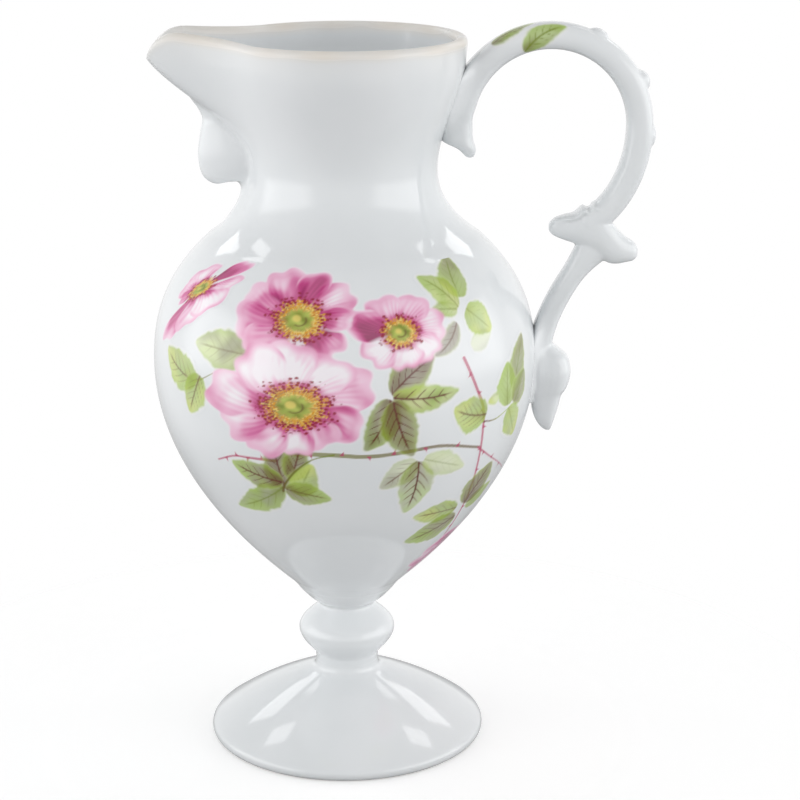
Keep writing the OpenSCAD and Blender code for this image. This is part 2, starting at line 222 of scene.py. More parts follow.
def body_r(z):
    """The outer radius of the bowl and the neck at a height."""
    z = np.asarray(z, float)
    return np.select(
        [z < belly_z, z < shoulder_z, z < waist_z, z < lip_z],
        [curve(z, base_z, base_r, base_slope, belly_z, belly_r, 0),
         curve(z, belly_z, belly_r, 0, shoulder_z, shoulder_r, shoulder_low),
         curve(z, shoulder_z, shoulder_r, shoulder_high, waist_z, waist_r, 0),
         curve(z, waist_z, waist_r, 0, lip_z, lip_r, lip_slope)],
        lip_r + lip_slope * (z - lip_z))


def outer(u, z):
    """The vessel's outside in plan: u is the angle from the spout in shares of half its angle."""
    side = np.maximum(0, 1 - u * u)
    rise = np.clip(spout_rise * (z - notch_z) / (tip_z - notch_z), 0, 90)
    share = (np.sin(np.radians(rise)) / math.sin(math.radians(spout_rise))) ** spout_power
    r, a = body_r(z), np.radians(u * spout_a)
    return np.stack([-r * np.cos(a) - spout_reach * side ** beak_power * share,
                     r * np.sin(a) * (1 - spout_narrow * u * u * side ** 3 * share)], axis=-1)


def inner(u, z):
    """The vessel's inside in plan, a wall's thickness within the outside."""
    across = outer(u + 0.01, z) - outer(u - 0.01, z)
    normal = np.stack([across[..., 1], -across[..., 0]], axis=-1)
    normal /= np.linalg.norm(normal, axis=-1, keepdims=True)
    up = (outer(u, z + 0.05) - outer(u, z - 0.05)) / 0.1
    lean = np.sqrt(1 + np.sum(up * normal, axis=-1) ** 2)
    return outer(u, z) + normal * (wall * lean)[..., None]


def lip_height(u):
    """The top of the rim: it rises to both sides of the beak and dips at the tip."""
    side, tip = np.maximum(0, 1 - u * u), np.maximum(0, 1 - (u / tip_share) ** 2)
    return rim_z + lips_rise * side ** 2 - (tip_drop + lips_rise) * tip ** 2


def points_of(piece):
    """The places of a piece's points, in metres."""
    flat = np.empty(3 * len(piece.data.vertices))
    piece.data.vertices.foreach_get("co", flat)
    return flat.reshape(-1, 3)


def wrapped(name, columns, rows, place, mark=None, closed=True):
    """A grid bent into a form: place takes the column and row of each point to millimetres.

    mark gives each point a colour with a cover, which the piece keeps as its paint.
    """
    bpy.ops.object.select_all(action="DESELECT")
    bpy.ops.mesh.primitive_grid_add(x_subdivisions=columns, y_subdivisions=rows, size=1)
    piece = bpy.context.object
    piece.name = piece.data.name = name
    column, row = np.rint((points_of(piece)[:, :2] + 0.5) * (columns, rows)).astype(int).T
    piece.data.vertices.foreach_set("co", (place(column, row) * 0.001).ravel())
    if mark:
        paint = piece.data.attributes.new("paint", "FLOAT_COLOR", "POINT")
        paint.data.foreach_set("color", mark(column, row).ravel())
    bpy.ops.object.mode_set(mode="EDIT")
    bpy.ops.mesh.select_all(action="SELECT")
    if closed:
        bpy.ops.mesh.remove_doubles(threshold=1e-6)
        bpy.ops.mesh.normals_make_consistent(inside=False)
    bpy.ops.object.mode_set(mode="OBJECT")
    return piece


base_row, out_row, lip_row, in_row, floor_row = range(5)
out_z = np.concatenate([np.linspace(base_z, shoulder_z, 64), np.linspace(shoulder_z + 0.7, lip_top, 62)])
lip_turn = np.radians(np.linspace(0, 180, 13)[1:-1])
in_z = np.concatenate([np.linspace(lip_top, shoulder_z, 50), np.linspace(shoulder_z - 2, dish_z, 40)])
floor_k = np.linspace(1, 0, 10)[1:]
row_kind = np.repeat(range(5), [1, len(out_z), len(lip_turn), len(in_z), len(floor_k)])
row_at = np.concatenate([[0], out_z, lip_turn, in_z, floor_k])
vessel_columns = 240


def vessel_point(column, row):
    """The rows run from the base up the outside, over the lip, down the inside and across the floor."""
    u = (column / vessel_columns - 0.5) * 360 / spout_a
    kind, at = row_kind[row], row_at[row]
    top = lip_height(u) - wall / 2
    z = np.where((kind == out_row) | (kind == in_row), at, lip_top)
    z = np.where(z > notch_z, notch_z + (z - notch_z) * (top - notch_z) / (lip_top - notch_z), z)
    turn = np.where(kind == lip_row, at, 0)
    outside, inside = outer(u, z), inner(u, z)
    over = (outside + inside) / 2 + (outside - inside) / 2 * np.cos(turn)[:, None]
    dish = inner(u, np.full_like(u, dish_z)) * at[:, None]
    plan = np.select([(kind == n)[:, None] for n in range(5)], [0 * outside, outside, over, inside, dish])
    z = np.select([kind == base_row, kind == lip_row, kind == floor_row],
                  [base_z, z + wall / 2 * np.sin(turn), floor_z + floor_dish * at ** 2], z)
    return np.column_stack([plan, z])


def vessel_wear(column, row):
    """The warm worn line along the rim: most on the lip's outer round, less inside, patchy all the way."""
    u = (column / vessel_columns - 0.5) * 360 / spout_a
    kind, under = row_kind[row], row_at[row] - lip_top
    line = np.clip(under / worn_line + 1, 0, 1) ** 1.6
    stain = 0.36 * np.exp(np.minimum(under, 0) / worn_stain)
    inside = 0.9 * np.clip(under / worn_inside + 1, 0, 1)
    patch = 0.78 + 0.22 * np.sin(3.1 * u + 0.8) * np.sin(7.3 * u + 2.0)
    beak = 1 - 0.75 * np.maximum(0, 1 - (u / 0.5) ** 2) ** 2
    worn = np.select([kind == out_row, kind == lip_row, kind == in_row],
                     [np.maximum(line, stain), 1, inside], 0)
    return np.column_stack([np.tile(worn_clay, (len(u), 1)), worn_cover * worn * patch * beak])


vessel = wrapped("bowl_neck_spout", vessel_columns, len(row_at) - 1, vessel_point, vessel_wear)
bpy.ops.object.shade_smooth_by_angle(angle=math.radians(50))
vessel.data.materials.append(glaze("vessel_glaze", painted=True, matt=0.5))
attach(vessel, "root")
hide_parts("body", "spout", "spout_slip")

# Drop. A rounded pendant of porcelain under the beak, luted to the neck and blended into it. Its edge
# runs in under the neck's glaze.
drop_side, drop_fillet, drop_round, drop_back, drop_columns, drop_rows = 0.48, 2.0, 0.7, 0.0006, 72, 110
drop_skirt, drop_bell, drop_sunk, edge_sunk, edge_rows, edge_side = 6, 1.6, 0.09, 0.3, 10, 0.05
# From beak to neck: the height on the neck, the place in X and Z of the lobe's front, half its width.
drop_lines = [(176.5, -40.9, 176.5, 2.2), (174.2, -38.6, 173.6, 2.6), (172.0, -36.9, 171.2, 3.2),
              (170.0, -36.2, 169.0, 3.8), (167.6, -36.8, 165.9, 4.6), (164.6, -37.5, 161.5, 5.4),
              (161.8, -37.4, 157.4, 5.8), (159.2, -36.2, 154.1, 5.7), (157.0, -33.4, 152.4, 5.4),
              (155.4, -29.9, 152.9, 5.2), (153.8, -27.6, 152.9, 5.2), (151.5, -26.7, 151.2, 5.6),
              (148.0, -27.8, 147.7, 6.5), (144.0, -30.5, 143.6, 7.6), (139.4, -34.2, 139.3, 8.6)]


def eased(rows, count):
    """A few rows of numbers drawn out to many, along a smooth line through them."""
    rows = np.array(rows, float)
    rows = np.vstack([2 * rows[0] - rows[1], rows, 2 * rows[-1] - rows[-2]])
    at = np.linspace(0, len(rows) - 3, count)
    i = np.minimum(at.astype(int), len(rows) - 4)
    t = (at - i)[:, None]
    a, b, c, d = rows[i], rows[i + 1], rows[i + 2], rows[i + 3]
    return (2 * b + (c - a) * t + (2 * a - 5 * b + 4 * c - d) * t**2 + (3 * b - a - 3 * c + d) * t**3) / 2


def drop_point(column, row):
    """The neck's own skin, drawn out to the lobe's front by a share that falls off to both sides."""
    u = (0.5 - column / drop_columns) * 2 * drop_side
    neck_z, front_x, front_z, half = eased(drop_lines, drop_rows + 1)[drop_rows - row].T
    (skin_x, y), middle_x = outer(u, neck_z).T, outer(u * 0, neck_z)[:, 0]
    reach = np.hypot(front_x - middle_x, front_z - neck_z)
    away = (y / half) ** 2
    lobe = np.where(away < 1, reach * np.maximum(0, 1 - away) ** drop_round, -drop_skirt * (away - 1))
    full = (lobe + np.sqrt(lobe ** 2 + drop_fillet ** 2)) / 2 / np.maximum(reach, 0.6)
    low = np.exp(-drop_bell * away)
    share = low + (full - low) * np.clip((reach - 1) / 4, 0, 1)
    edge = np.minimum(np.minimum(row, drop_rows - row) / edge_rows, (drop_side - np.abs(u)) / edge_side)
    sunk = drop_sunk + edge_sunk * (1 - np.clip(edge, 0, 1)) ** 2
    return np.column_stack([skin_x + share * (front_x - middle_x) + sunk, y,
                            neck_z + share * (front_z - neck_z)])


drop = wrapped("spout_pendant", drop_columns, drop_rows, drop_point, closed=False)
thick = drop.modifiers.new("back", "SOLIDIFY")
thick.thickness = drop_back
thick.offset = -1
bpy.ops.object.modifier_apply(modifier=thick.name)
bpy.ops.object.shade_smooth_by_angle(angle=math.radians(60))
drop.data.materials.append(glaze("drop_glaze"))
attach(drop, "root")
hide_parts("spout_drop")

# Handle. A porcelain C-scroll with three thorns, a two-lobed knuckle, and a stay that ends in a
# hanging leaf. The castings are luted together, so that the glaze rounds every corner between them.
handle_t, handle_w, loop_r, loop_low, loop_z = 7.0, 8.6, 23.1, 28.8, 167.5
loop_first, loop_last, taper_from, taper = -64, 186, 165, 0.4
loop_x = float(body_r(loop_z)) + loop_r + handle_t / 2
knuckle_x, knuckle_z, leaf_top = 64.8, 137.9, 107.6
strut_t, strut_w, strut_out, strut_fall, strut_root = 2.9, 3.8, 0.62, 0.78, 0.38
strut_lap, strut_gap, pad_top, pad_low, pad_sunk, pad_t, pad_w = 2, 1.2, 110, 94, 0.7, 1.6, 3.6
thorn_span, thorn_w, thorn_sunk, thorn_lean = 6.5, 2.6, 1.0, 0.25
bar_columns, bar_square, melt_voxel, down = 28, 0.75, 0.00036, -math.pi / 2


def loop_at(a, r):
    """The place in X and Z at an angle round the scroll, whose lower half is drawn out."""
    low = r * loop_low / loop_r if a < 0 else r
    return loop_x + r * math.cos(math.radians(a)), loop_z + low * math.sin(math.radians(a))


def swept(name, sections):
    """A bar through oval sections: place in X and Z, direction, half thickness and half width."""
    rows = [(*sections[0][:3], 0, 0), *sections, (*sections[-1][:3], 0, 0)]
    table = np.array(rows)

    def bar_point(column, row):
        a = column * 2 * math.pi / bar_columns
        x, z, way, thickness, width = table[row].T
        off = thickness * np.sign(np.sin(a)) * np.abs(np.sin(a)) ** bar_square
        y = width * np.sign(np.cos(a)) * np.abs(np.cos(a)) ** bar_square
        return np.column_stack([x - off * np.sin(way), y, z + off * np.cos(way)])

    return wrapped(name, bar_columns, len(rows) - 1, bar_point)


def laid(way, count, rows):
    """Sections of a bar that keeps one direction: the rows go without it, and are drawn out to a count."""
    return eased([(x, z, way, thickness, width) for x, z, thickness, width in rows], count)


loop_sections = []
for a in np.linspace(loop_first, loop_last, 90):
    low = loop_low if a < 0 else loop_r
    way = math.atan2(low * math.cos(math.radians(a)), -loop_r * math.sin(math.radians(a)))
    end = max(0, a - taper_from) / (loop_last - taper_from)
    loop_sections.append((*loop_at(a, loop_r + taper * end), way,
                          handle_t / 2 - taper * end, handle_w / 2 - taper * end ** 2))
root_sections = laid(down, 40, [
    (31.2, 178, 2.6, 3.9), (29.6, 170, 3.7, 4.2), (29.2, 166, 4.1, 4.2), (29.3, 163.9, 4.2, 4.1),
    (30.1, 162.9, 3.6, 3.9), (31.3, 162, 2.8, 3.6), (32.0, 161.2, 2.2, 3.2), (32.4, 160.2, 1.6, 2.7),
    (32.6, 159.3, 0.9, 1.9)])
knuckle_sections = laid(0, 60, [
    (53.3, 140.9, 0.9, 1.2), (54.2, 140.8, 1.9, 2.0), (56.5, 140.6, 2.8, 2.9), (60.0, 140.3, 3.7, 3.6),
    (63.0, 140.1, 5.0, 4.2), (66.0, 139.4, 6.0, 4.5), (68.8, 137.4, 5.9, 4.4), (71.3, 135.7, 4.5, 4.0),
    (73.5, 134.9, 3.3, 3.4), (75.4, 134.5, 2.5, 2.6), (76.6, 134.3, 1.2, 1.4)])
frill_sections = eased([
    (54.6, 142.4, 0, 0.8, 2.2), (57.5, 143.2, 0.1, 0.8, 3.2), (60.2, 143.8, 0.4, 0.8, 3.8),
    (62.2, 145.5, 0.3, 0.9, 4.0), (63.7, 145.0, 0.1, 0.8, 4.0), (65.2, 146.5, 0.4, 0.9, 4.2),
    (66.6, 146.3, 0.4, 0.8, 4.3), (68.4, 148.0, 0.7, 0.8, 4.3)], 50)
strut_z = leaf_top - strut_lap
strut_end = np.array([float(body_r(strut_z)) + strut_gap, strut_z])
strut_top = np.array([knuckle_x + strut_lap, knuckle_z])
pull = float(np.linalg.norm(strut_top - strut_end))
strut_k = np.linspace(0, 1, 40)
strut_x = curve(strut_k, 0, strut_top[0], -strut_out * pull, 1, strut_end[0], 0)
strut_h = curve(strut_k, 0, strut_top[1], -strut_fall * pull, 1, strut_end[1], -pull)
strut_way = np.arctan2(np.gradient(strut_h), np.gradient(strut_x))
strut_sections = [(x, z, way, strut_t * (1 + (max(0, strut_root - k) / strut_root) ** 2), strut_w)
                  for x, z, way, k in zip(strut_x, strut_h, strut_way, strut_k)]
leaf_sections = laid(down, 60, [
    (51.5, 110.5, 2.2, 3.2), (52.9, 108.4, 3.3, 4.0), (54.4, 106, 4.5, 5.0), (54.9, 102, 4.9, 5.6),
    (54.4, 98, 4.5, 5.2), (53.6, 95.7, 3.9, 4.5), (53.1, 92.4, 3.6, 3.9), (53.1, 89, 2.6, 3.0),
    (53.5, 86.7, 1.5, 1.8), (54.0, 85.6, 0.6, 0.8)])
pad_sections = [(float(body_r(z)) - pad_sunk, z, down, pad_t, pad_w)
                for z in np.linspace(pad_top, pad_low, 20)]
bars = [swept("handle_scroll", loop_sections), swept("root", root_sections),
        swept("knuckle", knuckle_sections), swept("frill", frill_sections), swept("stay", strut_sections),
        swept("leaf", leaf_sections), swept("leaf_pad", pad_sections)]
for a, rise in ((63, 1.1), (27, 1.5), (-4, 0.8)):
    thorn = []
    for t in np.linspace(-0.99, 0.99, 16):
        at, fat = a - thorn_span * t, math.sqrt(1 - t * t)
        spot = loop_at(at, loop_r + handle_t / 2 - thorn_sunk + thorn_lean * t)
        thorn.append((*spot, math.radians(at - 90), (1 + rise) * fat, thorn_w * fat))
    bars.append(swept("thorn", thorn))
bpy.ops.object.select_all(action="DESELECT")
for bar in bars:
    bar.select_set(True)
handle = bars[0]
bpy.context.view_layer.objects.active = handle
bpy.ops.object.join()
remesh = handle.modifiers.new("melt", "REMESH")
remesh.mode = "VOXEL"
remesh.voxel_size = melt_voxel
bpy.ops.object.modifier_apply(modifier=remesh.name)
# Where the handle meets the vessel, the slip spreads it to both sides in a hollow fillet.
flare_root, flare_leaf, flare_reach, flare_power, flare_middle = 3.6, 2.6, 4.5, 2.5, 3
stay_z, root_low, root_fade, leaf_low, leaf_fade = 150, 164.5, 7, 91, 6
x, y, z = points_of(handle).T * 1000
away, turn = np.hypot(x, y), np.arctan2(y, x)
flare = np.where(z > stay_z, flare_root * np.clip((z - root_low) / root_fade, 0, 1),
                 flare_leaf * np.clip((z - leaf_low) / leaf_fade, 0, 1))
flare *= np.clip(np.abs(y) / flare_middle, 0, 1)
turn += np.sign(y) * flare * np.clip(1 - (away - body_r(z)) / flare_reach, 0, 1) ** flare_power / away
flared = np.column_stack([away * np.cos(turn), away * np.sin(turn), z])
handle.data.vertices.foreach_set("co", (flared * 0.001).ravel())
melt = handle.modifiers.new("glaze_round", "SMOOTH")
melt.factor = 0.5
melt.iterations = 7
bpy.ops.object.modifier_apply(modifier=melt.name)
bpy.ops.object.shade_smooth()
handle.data.materials.append(glaze("handle_glaze", painted=True))
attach(handle, "root")
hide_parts("handle_loop", "handle_thorns", "handle_knuckle", "handle_strut")

# Transfer. A print of wild roses in enamel colours, laid on the glazed jug as a thin film and fired into
# the gloss. The large spray runs round the front in four sheets, a small one is on the back, and two
# leaves lie over the top of the handle.
print_low, print_high, print_step, film_gap, film_t = 47, 138.2, 0.29, 0.022, 0.000012
# The bowl's outline in small steps: heights, radii, and lengths measured up the wall.
skin_z = np.linspace(45, 138.4, 2000)
skin_r = body_r(skin_z)
skin_m = np.concatenate([[0], np.cumsum(np.hypot(np.diff(skin_z), np.diff(skin_r)))])


def linear(r, g, b):
    """An enamel's colour, written as it looks on screen, in the linear values that a shader reads."""
    c = np.array([r, g, b]) / 255
    return np.where(c <= 0.04045, c / 12.92, ((c + 0.055) / 1.055) ** 2.4)


def smooth(x):
    """0 below 0 and 1 above 1, with a soft rise between them."""
    x = np.clip(x, 0, 1)
    return x * x * (3 - 2 * x)


def mix(a, b, share):
    """Colours between a and b, with a share of b for every point."""
    return a + (b - a) * np.asarray(share)[..., None]


wine, deep, pink = linear(150, 30, 92), linear(190, 58, 126), linear(217, 118, 168)
pale, white = linear(238, 192, 216), linear(244, 238, 243)
crimson, gold, cream = linear(146, 22, 48), linear(214, 148, 30), linear(232, 208, 110)
lime, green, moss = linear(198, 212, 104), linear(156, 188, 52), linear(122, 138, 40)
olive, brown, haze = linear(124, 128, 44), linear(104, 84, 32), linear(208, 222, 158)
rust, rose_twig = linear(96, 36, 26), linear(182, 76, 108)


def mottle(s, t, size, seed):
    """Soft blotches between 0 and 1, about size millimetres across."""
    s, t = s / size, t / size
    return 0.5 + 0.25 * (np.sin(2.1 * s + 1.3 * np.sin(1.7 * t + seed))
                         + np.sin(2.4 * t + 1.5 * np.sin(1.9 * s + 2 * seed)))


def specks(s, t, cell, seed):
    """One speck in each cell of a grid: how far each point is from its speck, and a draw for the speck."""
    i, j = np.floor(s / cell), np.floor(t / cell)
    draw = [np.abs(np.sin(127.1 * i + 311.7 * j + seed + n)) * 4375.85 % 1 for n in range(3)]
    return cell * np.hypot(s / cell - i - 0.3 - 0.4 * draw[0], t / cell - j - 0.3 - 0.4 * draw[1]), draw[2]


def tint(ink):
    """The pinks of a petal, from white at 0 to wine red at 4."""
    return np.column_stack([np.interp(ink, range(5), band) for band in zip(white, pale, pink, deep, wine)])


class Spray:
    """Paint on a set of points. offset gives their millimetres from a place, along the piece and up it."""

    def __init__(self, count, offset):
        self.offset = offset
        self.colour = np.tile(white, (count, 1))
        self.cover = np.zeros(count)

    def near(self, along, up, reach):
        """The points within reach of a place, and their offsets from it."""
        s, t = self.offset(along, up)
        here = np.flatnonzero((np.abs(s) < reach) & (np.abs(t) < reach))
        return here, s[here], t[here]

    def dab(self, here, share, colour):
        """Lays a colour over some of the points, with a share of cover for each."""
        share = np.clip(share, 0, 1)
        self.colour[here] = mix(self.colour[here], colour, share)
        self.cover[here] += (1 - self.cover[here]) * share

    def rose(self, along, up, heart, petals, squash=0.8, lean=0.0, flat=1.0):
        """A bloom. Each petal has a direction, a reach, half its spread and a depth of tone.

        The bloom is squashed across the way that it leans, and its heart is flatter still.
        """
        here, s, t = self.near(along, up, 1.2 * max(petal[1] for petal in petals))
        c, k = math.cos(lean), math.sin(lean)
        p, q = c * s + k * t, (c * t - k * s) / squash
        far, way = np.hypot(p, q), np.arctan2(q, p)
        for n, (aim, reach, spread, tone) in enumerate(petals):
            d = (way - math.radians(aim) + math.pi) % (2 * math.pi) - math.pi
            notch = np.exp(-((d - 0.06 * math.sin(3 * n)) / 0.13) ** 2)
            edge = reach * (1 - 0.22 * (np.abs(d) / spread) ** 2.4 - 0.09 * notch
                            + 0.03 * np.sin(6 * d + 2.3 * n) + 0.012 * np.sin(17 * d + n))
            g = np.clip(far / np.maximum(edge, 0.1), 0, 1.4)
            side = spread * (1.12 - 0.42 * np.clip(1 - g, 0, 1) ** 1.5)
            wash = mottle(p, q, 4.5, n + along) - 0.5
            stroke = np.sin(38 * d + 4 * np.sin(5 * d + n) + far)
            light = 2.5 - 2.3 * smooth((g - 0.28 - 0.12 * wash) / 0.26) + 1.1 * smooth((g - 0.82) / 0.16)
            dark = 3.4 - 1.5 * smooth((g - 0.58 - 0.3 * wash) / 0.34) - 0.9 * smooth((g - 0.86) / 0.12)
            fold = smooth((d - side + 0.30) / 0.28) * smooth((1.02 - g) / 0.22)
            spot = np.exp(-((g - 0.66) / 0.15) ** 2 - ((d - 0.1 * math.sin(2 * n)) / (0.45 * spread)) ** 2)
            ink = light + (dark - light) * tone + 0.9 * wash + 0.22 * stroke * smooth((0.95 - g) / 0.3)
            ink = ink + (0.7 + 0.5 * tone) * fold - 0.9 * (1 - tone) * spot
            share = smooth((edge - far) / 1.3 + 0.5) * smooth((side - np.abs(d)) * far / 1.1 + 0.5)
            self.dab(here, 0.97 * share, tint(ink))
        q = q * flat
        far, way = np.hypot(p, q), np.arctan2(q, p)
        ragged = heart * (1 + 0.07 * np.sin(9 * way + along) + 0.06 * np.sin(23 * way))
        straw = mix(np.tile(gold, (len(here), 1)), cream, mottle(p, q, 1.4, up))
        straw = mix(straw, brown, 0.5 * smooth(-np.cos(way)))
        threads = smooth(np.sin(44 * way + 2 * np.sin(7 * way)) * 2 - 0.6) * smooth((0.9 * heart - far) / 2)
        eye = mix(np.tile(lime, (len(here), 1)), moss, 0.25 + 0.75 * mottle(p, q, 1.7, along))
        shine = np.hypot(p + 0.1 * heart, q - 0.08 * heart)
        curl = np.exp(-((far - 0.25 * heart) / 0.3) ** 2) * smooth((np.cos(way + 0.8) + 0.1) / 0.5)
        self.dab(here, 0.5 * smooth((1.25 * heart - far) / (0.35 * heart)), deep)
        self.dab(here, 0.9 * smooth((0.92 * ragged - far) / (0.25 * heart)), straw)
        self.dab(here, 0.30 * threads, brown)
        self.dab(here, 0.95 * smooth((0.60 * ragged - far) / (0.22 * heart)), eye)
        self.dab(here, 0.7 * smooth((0.17 * heart - shine) / 0.9 + 0.4), cream)
        self.dab(here, 0.8 * curl, brown)
        # Rings of anthers: the grid's cell, where they start and end, their size, how many, their colour.
        for cell, first, last, size, full, hue in (
                (0.85, 0.45, 0.92, 0.34, 0.5, cream), (0.95, 0.50, 1.02, 0.38, 0.7, gold),
                (1.25, 0.62, 1.10, 0.46, 0.7, crimson), (1.40, 0.72, 1.26, 0.42, 0.6, crimson)):
            round_it = round(5.65 * heart / cell) * cell / (2 * math.pi)
            speck, drawn = specks(way * round_it, far, cell, 3 * cell + along)
            ring = smooth((far - first * heart) / 0.6) * smooth((last * ragged - far) / 0.6)
            self.dab(here, 0.92 * ring * (drawn < full) * smooth((size - speck) / 0.28 + 0.5), hue)

    def leaf(self, along, up, way, length, width, near_c, far_c, vein_c, veins, bend=0.0, strength=0.92):
        """A toothed leaf that grows from a place in a direction, with its length and its width.

        Its colour runs from near_c to far_c, and vein_c draws the midrib and the side veins.
        """
        here, s, t = self.near(along, up, 1.3 * length)
        way = math.radians(way)
        u, v = math.cos(way) * s + math.sin(way) * t, math.cos(way) * t - math.sin(way) * s
        v = v - bend * u * (length - u) / length
        k = np.clip(u / length, 0, 1)
        teeth = 1 + 0.07 * (np.abs((k * 9) % 1 - 0.3) - 0.35)
        half = width / 2 * np.sin(math.pi * k ** 0.78) ** 0.85 * teeth
        ragged = half * (1 + 0.16 * (mottle(u, v, 1.6, along) - 0.5))
        inside = smooth((ragged - np.abs(v)) / 1.1 + 0.5) * smooth(u / 0.8) * smooth((length - u) / 0.9)
        rib = np.clip(v / np.maximum(half, 0.1), -1, 1)
        wash = mottle(u, v, 3.0, along + up)
        tip = smooth(k * 1.15 - 0.05 + 0.7 * (wash - 0.5))
        colour = mix(np.tile(near_c, (len(here), 1)), far_c, tip)
        colour = mix(colour, haze, 0.25 * smooth(rib) * wash)
        colour = mix(colour, olive, 0.6 * smooth(-rib) * (1 - wash))
        colour = mix(colour, green, 0.5 * smooth((np.abs(rib) - 0.5) / 0.5))
        colour = mix(colour, brown, 0.8 * veins * np.exp(-(v / 1.6) ** 2) * (1 - k) * (0.4 + wash))
        halo = smooth((half + 0.5 - np.abs(v)) / 1.2 + 0.5) * smooth(u / 0.5)
        self.dab(here, 0.35 * strength * halo * smooth((length + 0.3 - u) / 0.6), haze)
        self.dab(here, strength * inside * (0.88 + 0.12 * wash), colour)
        mid = smooth((0.24 - np.abs(v)) / 0.3 + 0.5) * smooth((0.92 - k) / 0.2) * smooth(u / 0.5)
        self.dab(here, np.sqrt(veins) * mid * inside, vein_c)
        slant = (u - 0.8 * np.abs(v) - 0.12 * v * v) / (length / 6.5) + 0.25 * np.sign(v)
        lines = smooth((0.13 - np.abs(slant % 1 - 0.5)) / 0.10) * smooth((0.8 - np.abs(rib)) / 0.3)
        self.dab(here, 0.95 * veins * lines * smooth((0.85 - k) / 0.2) * inside, vein_c)

    def twig(self, places, thick, first, last, thorns=0):
        """A stalk through some places, with small thorns on either side in turn."""
        line = eased(places, 30 * (len(places) - 1) + 1)
        best, at = np.full(len(self.cover), 1e9), np.zeros(len(self.cover))
        for i, (along, up) in enumerate(line):
            here, s, t = self.near(along, up, 3)
            far = np.hypot(s, t)
            closer = far < best[here]
            best[here[closer]] = far[closer]
            at[here[closer]] = i / len(line)
        here = np.flatnonzero(best < 3)
        share = smooth((thick / 2 * (1.15 - 0.4 * at[here]) - best[here]) / 0.35 + 0.5)
        self.dab(here, 0.9 * share, mix(np.tile(first, (len(here), 1)), last, smooth(at[here])))
        for i in range(thorns):
            j = int((i + 0.7) / (thorns + 0.4) * (len(line) - 2))
            here, s, t = self.near(*line[j], 3)
            s1, t1 = self.offset(*line[j + 1])
            dx, dy = s - s1[here], t - t1[here]
            size = np.hypot(dx, dy)
            side = 1 if i % 2 else -1
            ahead, out = (s * dx + t * dy) / size, side * (t * dx - s * dy) / size
            spike = smooth((0.55 * (1 - out / 1.5) - np.abs(ahead - 0.3 * out)) / 0.3 + 0.5)
            self.dab(here, 0.9 * spike * (out > -0.2) * (out < 1.5), rose_twig)


